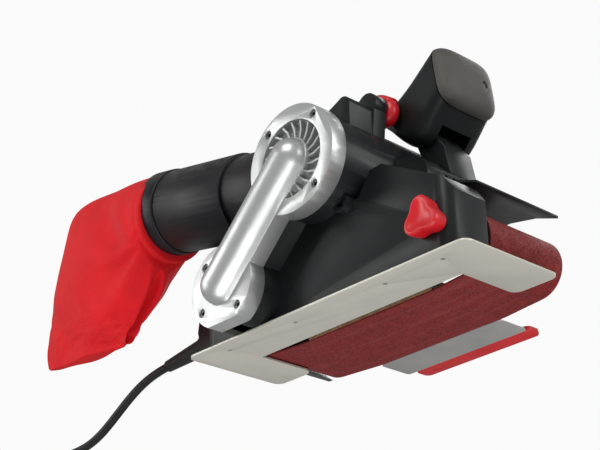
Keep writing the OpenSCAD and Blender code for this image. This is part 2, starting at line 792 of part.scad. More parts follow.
// One half of the rear handle between two places along Y
module handle_shell(y0, y1) {
    color("#202123") difference() {
        yprism(y0, y1) handle_outline();
        ycyl(motor_x, motor_z, barrel_r + eps, -60, 60, 128);
        ycyl(drive_x, drive_z, guard_r + guard_t + eps, -60, 60, 128);
        block([-138, -11, 129], [-62, 11, 147]);
        block([-135, -7.5, 110], [-64, 7.5, 130]);
        ycyl(-94, 139, 5.1, -grip_half - 1, -10);
    }
}

module handle_right() {
    handle_shell(-grip_half, -0.1);
}

module handle_left() {
    handle_shell(0.1, grip_half);
    color("#8d9094") ycyl(-72, 137, 2, -11 + 0.2, 0.1);
    color("#8d9094") ycyl(-72, 137, 2, 0.1, 11);
}

module switch() {
    color("#3c3f42") block([-116, -6, 141.5], [-80, 8, 147]);
}

module trigger() {
    color("#2a2b2d") difference() {
        yprism(-7, 7) polygon([[-66, 134], [-66, 129], [-80, 119], [-100, 116], [-120, 117], [-131, 122], [-131, 133],
            [-76, 140], [-68, 140]]);
        ycyl(-72, 137, 2 + run_fit, -10, 10);
        ycyl(-98, 99, 19, -8, 8);
    }
}

module lock_button() {
    color("#c9ccd0") ycyl(-94, 139, 5, -grip_half - 4, -10 - 0.5);
}

// ---- front handle ----

module handle_bracket() {
    color("#1b1d1f") difference() {
        union() {
            ycyl(pivot_x, pivot_z, 9.5, -bracket_w / 2, bracket_w / 2);
            yprism(-bracket_w / 2, bracket_w / 2) polygon([[pivot_x - 7, pivot_z - 6], [pivot_x + 7, pivot_z + 5],
                [50, 118], shoulder[1] + [10, -10], shoulder[1], shoulder[1] + [-13, 3.1], [24, 129]]);
        }
        ycyl(pivot_x, pivot_z, pivot_pin_r, -40, 40);
    }
}

module handle_pin() {
    color("#a8acb0") {
        ycyl(pivot_x, pivot_z, pivot_pin_r, -lever_near - lever_w - 10, front_half + 1);
        ycyl(pivot_x, pivot_z, pivot_pin_r + 3, front_half + 1, front_half + 3);
    }
}

module front_grip() {
    color("#1f2022") difference() {
        union() {
            for (y = [-front_half, cheek_in]) yprism(y, y + front_half - cheek_in)
                union() {
                    translate([pivot_x, pivot_z]) circle(11.5);
                    polygon([[pivot_x - 6, pivot_z + 9.8], [56, 194], [61, 143], [38, 121], [24, 126],
                        [pivot_x - 8, pivot_z - 8.2]]);
                }
            yprism(-cheek_in - eps, cheek_in + eps) polygon([[36, 176], [56, 194], [61, 143], [51, 135], [45, 150]]);
        }
        ycyl(pivot_x, pivot_z, pivot_pin_r + run_fit, -40, 40);
    }
}

module grip_cap() {
    y = front_half - 5;
    color("#57544f") difference() {
        hull() {
            for (s = [-y, y]) {
                translate([58, s, 190]) sphere(r = 6, $fn = 24);
                translate([68, s, 178]) sphere(r = 6, $fn = 24);
                translate([69, s, 156]) sphere(r = 5, $fn = 24);
                translate([62, s, 147]) sphere(r = 4, $fn = 24);
            }
        }
        yprism(-40, 40) polygon([[30, 180], [56, 194], [61, 143], [60, 120], [20, 120], [20, 210], [54.5, 210]]);
        translate([73.2, 12, 168]) rotate([0, 90, 0]) cylinder(r = 3.05, h = 4);
    }
}

module cap_screw() {
    color("#1a1b1c") translate([73.2, 12, 168]) rotate([0, 90, 0]) cylinder(r = 3, h = 2);
}

module clamp_lever() {
    y0 = -lever_near - lever_w;
    color("#d81f26") difference() {
        yprism(y0, -lever_near) union() {
            translate([pivot_x, pivot_z]) circle(11);
            polygon([[pivot_x + 2, pivot_z + 10.8], [pivot_x - 10, pivot_z + 14.5], [pivot_x - 27, pivot_z + 21],
                [pivot_x - 29, pivot_z + 17.5], [pivot_x - 13, pivot_z + 8.5], [pivot_x - 9, pivot_z + 1]]);
        }
        ycyl(pivot_x, pivot_z, pivot_pin_r + run_fit, y0 - 1, 0);
    }
}

// ---- dust outlet ----

// Places a piece on the tilted axis of the dust outlet, s along it from the port's end
module on_duct(s) {
    translate([port_end, duct_y, duct_z]) rotate([0, duct_tilt - 90, 0]) translate([0, 0, s]) children();
}

module dust_port() {
    color("#1d1e21") difference() {
        on_duct(-75) cylinder(r = duct_r - 2, h = 75, $fn = 96);
        on_duct(-85) cylinder(r = duct_r - 5, h = 86, $fn = 96);
        ycyl(motor_x, motor_z, barrel_r + eps, -110, 0, 128);
        block([motor_x, -100, 60], [40, 0, 200]);
    }
}

module dust_spout() {
    color("#1d1e21") difference() {
        on_duct(body_gap) union() {
            cylinder(r = duct_r, h = spout_len - collar_seat, $fn = 96);
            cylinder(r = spigot_r, h = spout_len, $fn = 96);
        }
        on_duct(-1) cylinder(r = spigot_r - duct_wall, h = spout_len + 3, $fn = 96);
    }
}

module bag_collar() {
    color("#26262a") on_duct(spout_len - collar_seat + 2 * body_gap) difference() {
        cylinder(r = duct_r + 1, h = collar_len, $fn = 96);
        translate([0, 0, -1]) cylinder(r = spigot_r + body_gap, h = collar_len + 2, $fn = 96);
    }
}

module dust_bag() {
    color("#e01f27") yprism(duct_y - bag_t / 2, duct_y + bag_t / 2) polygon([[-206.5, 105], [-192.5, 174],
        [-200, 184], [-262, 191], [-316, 187], [-332, 160], [-350, 110], [-362, 73], [-358, 56], [-347, 48],
        [-300, 43], [-254, 41], [-228, 66], [-212, 90]]);
}

// ---- cord ----

module strain_relief() {
    l = norm(relief_dir);
    color("#1a1a1b") translate(relief_start) rotate([0, -90 - relief_ang, 0]) {
        cylinder(r1 = 7.5, r2 = cord_r + 1.3, h = l, $fn = 48);
        cylinder(r = 8, h = 5, $fn = 48);
    }
}

module cord() {
    color("#151516") swept_tube(cord_route, cord_r, 10);
}

module cord_coil() {
    w = coil_cols * 2 * cord_r;
    h = coil_rows * 2 * cord_r;
    color("#151516") translate([coil_x, coil_y, 0]) rotate_extrude($fn = 96)
        translate([coil_r - w / 2, 0]) square([w, h]);
}

module plug() {
    color("#18181a") translate([plug_x, plug_y, 0]) {
        translate([-12, -62, 0]) cube([24, 30, 19]);
        translate([0, 0, 9.5]) rotate([90, 0, 0]) cylinder(r1 = cord_r + 1, r2 = 8, h = 32.5);
        for (x = [-6.5, 6.5]) translate([x, -61.5, 10]) rotate([90, 0, 0]) cylinder(r = 2, h = 18.5);
    }
}

sanding_frame();
side_shoe();
shoe_bumper();
shoe_bracket();
sanding_belt();
platen();
cork_pad();
chassis();
side_cover();
belt_hood();
motor_housing();
motor_end_cap();
drive_cover();
vane_ring();
cover_screws();
toothed_belt();
motor_pulley();
rotor_shaft();
armature();
commutator();
cooling_fan();
motor_bearings();
stator();
brush_gear();
counter_shaft();
counter_pulley();
pinion();
counter_bearings();
drive_shaft();
drive_gear();
drive_drum();
drum_lagging();
drum_bearings();
idler_carriage();
idler_axle();
idler_drum();
idler_bearings();
tension_spring();
release_lever();
tracking_knob();
tracking_screw();
handle_right();
handle_left();
switch();
trigger();
lock_button();
handle_bracket();
handle_pin();
front_grip();
grip_cap();
cap_screw();
clamp_lever();
dust_port();
dust_spout();
bag_collar();
dust_bag();
strain_relief();
cord();
cord_coil();
plug();
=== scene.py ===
import json
import math

import bmesh
import bpy
import numpy as np
from mathutils import Matrix, Vector


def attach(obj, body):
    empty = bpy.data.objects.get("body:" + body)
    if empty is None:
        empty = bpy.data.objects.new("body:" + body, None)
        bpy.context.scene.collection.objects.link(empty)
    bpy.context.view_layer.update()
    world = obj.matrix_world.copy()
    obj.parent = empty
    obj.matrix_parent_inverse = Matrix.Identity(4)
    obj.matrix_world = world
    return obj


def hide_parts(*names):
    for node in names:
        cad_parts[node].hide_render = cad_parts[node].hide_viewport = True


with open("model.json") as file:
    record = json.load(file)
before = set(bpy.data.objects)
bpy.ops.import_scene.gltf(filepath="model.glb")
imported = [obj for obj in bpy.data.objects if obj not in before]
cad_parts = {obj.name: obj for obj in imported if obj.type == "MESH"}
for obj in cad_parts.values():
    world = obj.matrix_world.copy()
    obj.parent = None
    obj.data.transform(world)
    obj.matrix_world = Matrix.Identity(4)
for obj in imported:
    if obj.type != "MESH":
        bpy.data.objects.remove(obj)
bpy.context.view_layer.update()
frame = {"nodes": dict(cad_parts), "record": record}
nodes = frame["nodes"]
print("frame loaded:", len(nodes), "nodes")


# Camera, lights and world
view = {
    "place": (0.7038, -0.8214, -0.4285),
    "right": (0.6944, 0.7183, -0.0423),
    "up": (0.3346, -0.2703, 0.9028),
    "back": (0.6371, -0.6411, -0.4280),
    "lens": 98.64,
}
cameraData = bpy.data.cameras.new("camera")
cameraData.lens = view["lens"]
cameraData.sensor_width = 36.0
cameraData.clip_start = 0.05
camera = bpy.data.objects.new("camera", cameraData)
turn = Matrix((view["right"], view["up"], view["back"])).transposed().normalized()
camera.matrix_world = Matrix.Translation(view["place"]) @ turn.to_4x4()
bpy.context.scene.collection.objects.link(camera)
bpy.context.scene.camera = camera

lampSet = {
    "key": {"place": (0.55, -1.25, 1.15), "size": 0.9, "power": 11.0},
    "side": {"place": (-1.1, -1.0, 0.35), "size": 0.9, "power": 6.5},
    "nose": {"place": (1.5, 0.35, 0.45), "size": 0.8, "power": 9.0},
    "under": {"place": (0.35, -0.55, -1.0), "size": 1.0, "power": 9.5},
    "back": {"place": (-0.2, 1.3, 0.9), "size": 1.0, "power": 10.0},
}


def addLamp(name, spec, aim=(-0.08, -0.03, 0.08)):
    # A square area light that looks at the middle of the tool
    lamp = bpy.data.lights.new(name, "AREA")
    lamp.shape = "SQUARE"
    lamp.size = spec["size"]
    lamp.energy = spec["power"]
    thing = bpy.data.objects.new(name, lamp)
    thing.location = spec["place"]
    toward = Vector(aim) - Vector(spec["place"])
    thing.rotation_euler = toward.to_track_quat("-Z", "Y").to_euler()
    thing.visible_camera = False
    bpy.context.scene.collection.objects.link(thing)


for lampName, lampSpec in lampSet.items():
    addLamp(lampName, lampSpec)

world = bpy.data.worlds.new("studio")
world.use_nodes = True
bpy.context.scene.world = world
bpy.context.scene.view_settings.view_transform = "Standard"


# Helpers for node trees

def addNode(tree, kind, **values):
    # Adds a shader node; keys are socket names with _ for spaces, or node properties
    made = tree.nodes.new("ShaderNode" + kind)
    for key, value in values.items():
        socket = made.inputs.get(key.replace("_", " "))
        if socket is None:
            setattr(made, key, value)
        elif isinstance(value, bpy.types.NodeSocket):
            tree.links.new(value, socket)
        else:
            socket.default_value = value
    return made


def addMath(tree, operation, first, second=0.0, clamp=False):
    made = tree.nodes.new("ShaderNodeMath")
    made.operation = operation
    made.use_clamp = clamp
    for socket, value in zip(made.inputs, (first, second)):
        if isinstance(value, bpy.types.NodeSocket):
            tree.links.new(value, socket)
        else:
            socket.default_value = value
    return made.outputs[0]


def addRamp(tree, value, low, high, start=0.0, end=1.0):
    # Maps value from low..high to start..end and clamps it
    made = addNode(tree, "MapRange", clamp=True)
    for socket, number in zip(("From Min", "From Max", "To Min", "To Max"), (low, high, start, end)):
        made.inputs[socket].default_value = number
    tree.links.new(value, made.inputs["Value"])
    return made.outputs["Result"]


def mixColour(tree, mask, first, second):
    made = tree.nodes.new("ShaderNodeMix")
    made.data_type = "RGBA"
    for index, value in ((0, mask), (6, first), (7, second)):
        if isinstance(value, bpy.types.NodeSocket):
            tree.links.new(value, made.inputs[index])
        else:
            made.inputs[index].default_value = value if index == 0 else (*value, 1.0)
    return made.outputs[2]


def newGroup(name, inputs, outputs):
    group = bpy.data.node_groups.new(name, "ShaderNodeTree")
    for socketName, kind, value in inputs:
        socket = group.interface.new_socket(socketName, in_out="INPUT", socket_type=kind)
        if value is not None:
            socket.default_value = value
    for socketName, kind in outputs:
        group.interface.new_socket(socketName, in_out="OUTPUT", socket_type=kind)
    return group, group.nodes.new("NodeGroupInput"), group.nodes.new("NodeGroupOutput")


def placeGroup(tree, group, **values):
    made = tree.nodes.new("ShaderNodeGroup")
    made.node_tree = group
    for key, value in values.items():
        if isinstance(value, bpy.types.NodeSocket):
            tree.links.new(value, made.inputs[key])
        else:
            made.inputs[key].default_value = value
    return made


def makeGrainGroup():
    # Fine grain over broad blotches: Height for bump, Blotch for tone and gloss
    group, given, out = newGroup(
        "surfaceGrain",
        [("Where", "NodeSocketVector", None), ("Fine", "NodeSocketFloat", 1800.0), ("Broad", "NodeSocketFloat", 25.0)],
        [("Height", "NodeSocketFloat"), ("Blotch", "NodeSocketFloat")],
    )
    fine = addNode(group, "TexNoise", Vector=given.outputs["Where"], Scale=given.outputs["Fine"], Detail=3.0)
    fine.inputs["Roughness"].default_value = 0.62
    broad = addNode(group, "TexNoise", Vector=given.outputs["Where"], Scale=given.outputs["Broad"], Detail=4.0)
    group.links.new(fine.outputs["Fac"], out.inputs["Height"])
    group.links.new(addRamp(group, broad.outputs["Fac"], 0.35, 0.65), out.inputs["Blotch"])
    return group


def makeDustGroup():
    # Wood dust that settles where a surface faces up, broken by noise
    group, given, out = newGroup(
        "restingDust",
        [("Where", "NodeSocketVector", None), ("Amount", "NodeSocketFloat", 0.3)],
        [("Mask", "NodeSocketFloat")],
    )
    facing = addNode(group, "NewGeometry").outputs["Normal"]
    upward = addNode(group, "SeparateXYZ", Vector=facing).outputs["Z"]
    speckle = addNode(group, "TexNoise", Vector=given.outputs["Where"], Scale=140.0, Detail=6.0).outputs["Fac"]
    broken = addRamp(group, speckle, 0.45, 0.7)
    lying = addMath(group, "MULTIPLY", addRamp(group, upward, 0.2, 0.95), broken)
    group.links.new(addMath(group, "MULTIPLY", lying, given.outputs["Amount"], clamp=True), out.inputs["Mask"])
    return group


def makeScratchGroup():
    # Thin straight marks along one way: noise stretched forty to one and cut to its peaks
    group, given, out = newGroup(
        "fineScratches",
        [("Where", "NodeSocketVector", None), ("Along", "NodeSocketVector", (8.0, 420.0, 420.0))],
        [("Mask", "NodeSocketFloat")],
    )
    stretched = addNode(group, "VectorMath", operation="MULTIPLY")
    group.links.new(given.outputs["Where"], stretched.inputs[0])
    group.links.new(given.outputs["Along"], stretched.inputs[1])
    streak = addNode(group, "TexNoise", Vector=stretched.outputs[0], Scale=1.0, Detail=4.0).outputs["Fac"]
    group.links.new(addRamp(group, streak, 0.5, 0.72), out.inputs["Mask"])
    return group


def makeGritGroup():
    # Abrasive grains: small cells, each lighter or darker by its own random tone
    group, given, out = newGroup(
        "abrasiveGrit",
        [("Where", "NodeSocketVector", None), ("Scale", "NodeSocketFloat", 1500.0)],
        [("Tone", "NodeSocketFloat"), ("Height", "NodeSocketFloat")],
    )
    cells = addNode(group, "TexVoronoi", Vector=given.outputs["Where"], Scale=given.outputs["Scale"])
    tone = addNode(group, "SeparateXYZ", Vector=cells.outputs["Color"]).outputs["X"]
    cloud = addNode(group, "TexNoise", Vector=given.outputs["Where"], Scale=60.0, Detail=5.0).outputs["Fac"]
    mixed = addMath(group, "ADD", addMath(group, "MULTIPLY", tone, 0.7), addMath(group, "MULTIPLY", cloud, 0.45))
    group.links.new(mixed, out.inputs["Tone"])
    group.links.new(addMath(group, "SUBTRACT", 1.0, cells.outputs["Distance"]), out.inputs["Height"])
    return group


def makeWeaveGroup():
    # Weave: sine ribs across X times sine ribs across Z, plus sine ribs across Y, at one thread pitch
    group, given, out = newGroup(
        "clothWeave",
        [("Where", "NodeSocketVector", None), ("Threads", "NodeSocketFloat", 900.0)],
        [("Height", "NodeSocketFloat"), ("Tone", "NodeSocketFloat")],
    )
    split = addNode(group, "SeparateXYZ", Vector=given.outputs["Where"])
    fullTurn = 6.283
    ribs = []
    for axis in ("X", "Y", "Z"):
        perMetre = addMath(group, "MULTIPLY", given.outputs["Threads"], fullTurn)
        angle = addMath(group, "MULTIPLY", split.outputs[axis], perMetre)
        ribs.append(addMath(group, "MULTIPLY", addMath(group, "SINE", angle), 0.5))
    product = addMath(group, "MULTIPLY", ribs[0], ribs[2])
    summed = addMath(group, "ADD", addMath(group, "MULTIPLY", product, 2.0), ribs[1])
    cloud = addNode(group, "TexNoise", Vector=given.outputs["Where"], Scale=45.0, Detail=5.0).outputs["Fac"]
    group.links.new(summed, out.inputs["Height"])
    group.links.new(addRamp(group, cloud, 0.3, 0.7), out.inputs["Tone"])
    return group


# The backdrop is pale to the camera, and dimmer as a light so that black stays black
backdropShare = {"asLight": 0.33, "toCamera": 0.96}
worldTree = world.node_tree
backdrop = worldTree.nodes["Background"]
backdrop.inputs["Color"].default_value = (1.0, 1.0, 1.0, 1.0)
seenDirectly = addNode(worldTree, "LightPath").outputs["Is Camera Ray"]
share = addRamp(worldTree, seenDirectly, 0.0, 1.0, backdropShare["asLight"], backdropShare["toCamera"])
worldTree.links.new(share, backdrop.inputs["Strength"])

grainGroup = makeGrainGroup()
dustGroup = makeDustGroup()
scratchGroup = makeScratchGroup()
gritGroup = makeGritGroup()
weaveGroup = makeWeaveGroup()
print("node groups made")


# Materials

def startMaterial(name, **sockets):
    made = bpy.data.materials.new(name)
    made.use_nodes = True
    shader = made.node_tree.nodes["Principled BSDF"]
    for key, value in sockets.items():
        shader.inputs[key.replace("_", " ")].default_value = value
    where = made.node_tree.nodes.new("ShaderNodeTexCoord").outputs["Object"]
    return made, made.node_tree, shader, where


def addBump(tree, shader, height, depth):
    bump = addNode(tree, "Bump", Strength=1.0, Distance=depth, Height=height)
    tree.links.new(bump.outputs["Normal"], shader.inputs["Normal"])


woodDust = (0.62, 0.52, 0.40)


def plainFinish(name, look):
    # Moulded or cast surface: tone blotches, grain bump, gloss that varies, dust on top faces
    made, tree, shader, where = startMaterial(name)
    grain = placeGroup(tree, grainGroup, Where=where, Fine=look["fine"], Broad=look.get("broad", 25.0))
    tone = mixColour(tree, grain.outputs["Blotch"], look["colour"], look["other"])
    if look.get("dust"):
        dust = placeGroup(tree, dustGroup, Where=where, Amount=look["dust"])
        tone = mixColour(tree, dust.outputs["Mask"], tone, woodDust)
    tree.links.new(tone, shader.inputs["Base Color"])
    gloss = addRamp(tree, grain.outputs["Blotch"], 0.0, 1.0, look["rough"][0], look["rough"][1])
    if look.get("scratch"):
        marks = placeGroup(tree, scratchGroup, Where=where, Along=look.get("along", (8.0, 420.0, 420.0)))
        rubbed = addMath(tree, "MULTIPLY", marks.outputs["Mask"], look["scratch"])
        gloss = addMath(tree, "ADD", gloss, rubbed, clamp=True)
    tree.links.new(gloss, shader.inputs["Roughness"])
    shader.inputs["Metallic"].default_value = look.get("metal", 0.0)
    shader.inputs["Coat Weight"].default_value = look.get("coat", 0.0)
    shader.inputs["Coat Roughness"].default_value = 0.25
    shader.inputs["Specular IOR Level"].default_value = look.get("specular", 0.5)
    addBump(tree, shader, grain.outputs["Height"], look["depth"])
    return made


looks = {
    "housingBlack": {"colour": (0.006, 0.008, 0.0085), "other": (0.010, 0.013, 0.0135), "rough": (0.30, 0.42),
                     "fine": 1500.0, "depth": 0.00006, "dust": 0.10, "specular": 0.28},
    "handleBlack": {"colour": (0.006, 0.0075, 0.008), "other": (0.010, 0.011, 0.012), "rough": (0.34, 0.46),
                    "fine": 1500.0, "depth": 0.00006, "dust": 0.08, "specular": 0.28},
    "castSilver": {"colour": (0.62, 0.63, 0.62), "other": (0.54, 0.55, 0.55), "rough": (0.30, 0.40), "metal": 0.75,
                   "fine": 900.0, "depth": 0.00005, "broad": 40.0},
    "vaneSilver": {"colour": (0.50, 0.51, 0.51), "other": (0.40, 0.41, 0.41), "rough": (0.34, 0.46), "metal": 0.75,
                   "fine": 900.0, "depth": 0.00005},
    "coverGraphite": {"colour": (0.007, 0.009, 0.0095), "other": (0.011, 0.012, 0.0125), "rough": (0.30, 0.42),
                      "fine": 1300.0, "depth": 0.00006, "specular": 0.28},
    "plateSteel": {"colour": (0.68, 0.66, 0.58), "other": (0.60, 0.585, 0.52), "rough": (0.36, 0.50), "metal": 0.35,
                   "fine": 700.0, "depth": 0.00003, "scratch": 0.14, "broad": 18.0},
    "shoeGrey": {"colour": (0.42, 0.41, 0.39), "other": (0.34, 0.34, 0.33), "rough": (0.40, 0.55), "metal": 0.35,
                 "fine": 900.0, "depth": 0.00004},
    "darkSteel": {"colour": (0.10, 0.10, 0.105), "other": (0.16, 0.16, 0.165), "rough": (0.32, 0.5), "metal": 0.85,
                  "fine": 900.0, "depth": 0.00004},
    "brightSteel": {"colour": (0.58, 0.58, 0.58), "other": (0.46, 0.46, 0.47), "rough": (0.22, 0.36), "metal": 0.95,
                    "fine": 900.0, "depth": 0.00003, "scratch": 0.12},
    "copperWire": {"colour": (0.62, 0.25, 0.10), "other": (0.48, 0.17, 0.07), "rough": (0.28, 0.42), "metal": 0.95,
                   "fine": 700.0, "depth": 0.00005},
    "redPlastic": {"colour": (0.68, 0.010, 0.018), "other": (0.60, 0.008, 0.014), "rough": (0.28, 0.38),
                   "fine": 1200.0, "depth": 0.00005, "coat": 0.15},
    "redRubber": {"colour": (0.62, 0.016, 0.020), "other": (0.50, 0.010, 0.014), "rough": (0.50, 0.64),
                  "fine": 1500.0, "depth": 0.00008},
    "capRubber": {"colour": (0.068, 0.062, 0.056), "other": (0.095, 0.088, 0.080), "rough": (0.55, 0.72),
                  "fine": 1700.0, "depth": 0.00010},
    "ductBlack": {"colour": (0.008, 0.008, 0.010), "other": (0.012, 0.012, 0.014), "rough": (0.36, 0.48),
                  "fine": 1400.0, "depth": 0.00006, "dust": 0.12, "specular": 0.28},
    "buttonGrey": {"colour": (0.20, 0.20, 0.21), "other": (0.26, 0.26, 0.27), "rough": (0.40, 0.52),
                   "fine": 1400.0, "depth": 0.00005},
    "lagRubber": {"colour": (0.020, 0.020, 0.020), "other": (0.034, 0.034, 0.034), "rough": (0.6, 0.75),
                  "fine": 1400.0, "depth": 0.00010},
    "corkBrown": {"colour": (0.32, 0.18, 0.09), "other": (0.20, 0.11, 0.05), "rough": (0.7, 0.85),
                  "fine": 450.0, "depth": 0.00020, "broad": 220.0},
    "cordBlack": {"colour": (0.012, 0.012, 0.012), "other": (0.020, 0.020, 0.021), "rough": (0.42, 0.55),
                  "fine": 1500.0, "depth": 0.00006, "specular": 0.28},
}
finishes = {lookName: plainFinish(lookName, look) for lookName, look in looks.items()}


beltLook = {
    "darkGrain": (0.075, 0.004, 0.005),
    "lightGrain": (0.27, 0.018, 0.018),
    "worn": (0.30, 0.075, 0.065),
    "wornShare": 0.30,
    "grains": 1400.0,
    "depth": 0.00018,
}


def makeBeltFinish():
    # Red aluminium-oxide cloth: grit cells under paler streaks of use along the belt
    made, tree, shader, where = startMaterial("abrasiveRed")
    grit = placeGroup(tree, gritGroup, Where=where, Scale=beltLook["grains"])
    streak = placeGroup(tree, scratchGroup, Where=where, Along=(5.0, 130.0, 130.0))
    grainTone = addRamp(tree, grit.outputs["Tone"], 0.1, 0.9)
    tone = mixColour(tree, grainTone, beltLook["darkGrain"], beltLook["lightGrain"])
    rubbed = addMath(tree, "MULTIPLY", streak.outputs["Mask"], beltLook["wornShare"])
    worn = mixColour(tree, rubbed, tone, beltLook["worn"])
    tree.links.new(worn, shader.inputs["Base Color"])
    shader.inputs["Specular IOR Level"].default_value = 0.35
    tree.links.new(addRamp(tree, grit.outputs["Tone"], 0.0, 1.0, 0.82, 0.60), shader.inputs["Roughness"])
    addBump(tree, shader, grit.outputs["Height"], beltLook["depth"])
    return made


bagLook = {"colour": (0.76, 0.004, 0.010), "other": (0.64, 0.003, 0.008), "threads": 850.0, "depth": 0.00010}


def makeBagFinish():
    # Red woven cotton: thread ribs, slow changes of tone, a faint sheen from the nap
    made, tree, shader, where = startMaterial("bagCloth")
    weave = placeGroup(tree, weaveGroup, Where=where, Threads=bagLook["threads"])
    tone = mixColour(tree, weave.outputs["Tone"], bagLook["colour"], bagLook["other"])
    tree.links.new(tone, shader.inputs["Base Color"])
    shader.inputs["Roughness"].default_value = 0.78
    shader.inputs["Sheen Weight"].default_value = 0.08
    shader.inputs["Sheen Tint"].default_value = (1.0, 0.45, 0.42, 1.0)
    shader.inputs["Specular IOR Level"].default_value = 0.3
    addBump(tree, shader, weave.outputs["Height"], bagLook["depth"])
    return made


finishes["abrasiveRed"] = makeBeltFinish()
finishes["bagCloth"] = makeBagFinish()

floorMaterial, floorTree, floorShader, floorWhere = startMaterial("paleFloor", Roughness=0.9)
floorShader.inputs["Base Color"].default_value = (0.86, 0.86, 0.85, 1.0)
clearShader = addNode(floorTree, "BsdfTransparent")
floorMix = floorTree.nodes.new("ShaderNodeMixShader")
# Seen only by the camera and only from above, so light from below still reaches the sole
fromAbove = addMath(floorTree, "SUBTRACT", 1.0, addNode(floorTree, "NewGeometry").outputs["Backfacing"])
seen = addMath(floorTree, "MULTIPLY", fromAbove, addNode(floorTree, "LightPath").outputs["Is Camera Ray"])
floorTree.links.new(seen, floorMix.inputs[0])
floorTree.links.new(clearShader.outputs[0], floorMix.inputs[1])
floorTree.links.new(floorShader.outputs[0], floorMix.inputs[2])
floorTree.links.new(floorMix.outputs[0], floorTree.nodes["Material Output"].inputs["Surface"])
print("materials made:", len(finishes))


# Helpers for pieces

bodyOf = {}
for bodyName, bodyNodes in frame["record"]["behaviour"]["bodies"].items():
    for nodeName in bodyNodes:
        bodyOf[nodeName] = bodyName


def shade(mesh, smooth=True):
    mesh.polygons.foreach_set("use_smooth", np.full(len(mesh.polygons), smooth))


def makePiece(name, points, faces, material, body=None, smooth=True):
    mesh = bpy.data.meshes.new(name)
    mesh.from_pydata(np.asarray(points, dtype=float).tolist(), [], faces)
    mesh.update()
    mesh.materials.append(material)
    shade(mesh, smooth)
    thing = bpy.data.objects.new(name, mesh)
    bpy.context.scene.collection.objects.link(thing)
    if body:
        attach(thing, body)
    return thing


def gridFaces(rings, around, start=0):
    # Quads between neighbouring closed rings, each ring counted round first
    r, c = np.meshgrid(np.arange(rings - 1), np.arange(around), indexing="ij")
    r2, c2 = r + 1, (c + 1) % around
    quads = np.stack([r * around + c, r2 * around + c, r2 * around + c2, r * around + c2], axis=-1)
    return (quads.reshape(-1, 4) + start).tolist()


def shellFaces(rings, around, start=0):
    # The quads between the rings, and one face over each end
    last = start + (rings - 1) * around
    ends = [list(range(start, start + around)), list(range(last, last + around))[::-1]]
    return gridFaces(rings, around, start) + ends


def turnSteps(count):
    return np.linspace(0, 2 * np.pi, count, endpoint=False)


def signedPower(value, power):
    return np.sign(value) * np.abs(value) ** power


def flipOutward(thing):
    # Turns faces outwards on a closed shell
    work = bmesh.new()
    work.from_mesh(thing.data)
    bmesh.ops.recalc_face_normals(work, faces=work.faces)
    work.to_mesh(thing.data)
    work.free()


def unit(vectors):
    return vectors / np.maximum(np.linalg.norm(vectors, axis=-1, keepdims=True), 1e-12)


def splinePoints(points, perSpan):
    # Smooth curve through the points: a Catmull-Rom cubic between each two
    p = np.vstack([2 * points[:1] - points[1:2], points, 2 * points[-1:] - points[-2:-1]])
    t = np.linspace(0, 1, perSpan, endpoint=False)[:, None, None]
    a, b, c, d = (p[i : len(p) - 3 + i][None] for i in range(4))
    curve = 0.5 * (2 * b + (c - a) * t + (2 * a - 5 * b + 4 * c - d) * t**2 + (3 * b - a - 3 * c + d) * t**3)
    return np.vstack([curve.transpose(1, 0, 2).reshape(-1, 3), points[-1:]])


def tubeSurface(path, radii, sides):
    # Rings of the given radii across the path, turned along it without twist
    along = unit(np.gradient(path, axis=0))
    normal = np.zeros_like(path)
    seed = np.array([0.0, 0.0, 1.0]) if abs(along[0, 2]) < 0.9 else np.array([0.0, 1.0, 0.0])
    normal[0] = unit(seed - along[0] * (seed @ along[0]))
    for i in range(1, len(path)):
        kept = normal[i - 1] - along[i] * (normal[i - 1] @ along[i])
        normal[i] = kept / np.linalg.norm(kept)
    across = np.cross(along, normal)
    angle = turnSteps(sides)
    ring = np.cos(angle)[None, :, None] * normal[:, None] + np.sin(angle)[None, :, None] * across[:, None]
    points = path[:, None] + ring * np.asarray(radii)[:, None, None]
    return points.reshape(-1, 3)


def makeTube(name, path, radii, sides, material, body=None):
    rings = len(path)
    points = tubeSurface(path, np.broadcast_to(radii, (rings,)), sides)
    thing = makePiece(name, points, shellFaces(rings, sides), material, body)
    flipOutward(thing)
    return thing


edgeRound = {"segments": 2, "copyAngle": 32.0, "gripAngle": 40.0, "mergeWithin": 0.00002, "flatWithin": 1.0}


def roundEdges(thing, width, angle):
    bevel = thing.modifiers.new("edgeRadius", "BEVEL")
    bevel.width = width
    bevel.segments = edgeRound["segments"]
    bevel.limit_method = "ANGLE"
    bevel.angle_limit = math.radians(angle)
    bevel.harden_normals = True
    return bevel


def roundedCopy(node, width, material, name=None):
    # A copy of the node's mesh with its points merged, flat faces joined and sharp edges rounded off
    mesh = nodes[node].data.copy()
    mesh.name = name or node + "Rounded"
    work = bmesh.new()
    work.from_mesh(mesh)
    bmesh.ops.remove_doubles(work, verts=work.verts, dist=edgeRound["mergeWithin"])
    flat = math.radians(edgeRound["flatWithin"])
    bmesh.ops.dissolve_limit(work, angle_limit=flat, verts=work.verts, edges=work.edges)
    work.to_mesh(mesh)
    work.free()
    mesh.materials.clear()
    mesh.materials.append(material)
    shade(mesh)
    thing = bpy.data.objects.new(name or node + "Rounded", mesh)
    bpy.context.scene.collection.objects.link(thing)
    roundEdges(thing, width, edgeRound["copyAngle"]).miter_outer = "MITER_ARC"
    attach(thing, bodyOf[node])
    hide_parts(node)
    return thing


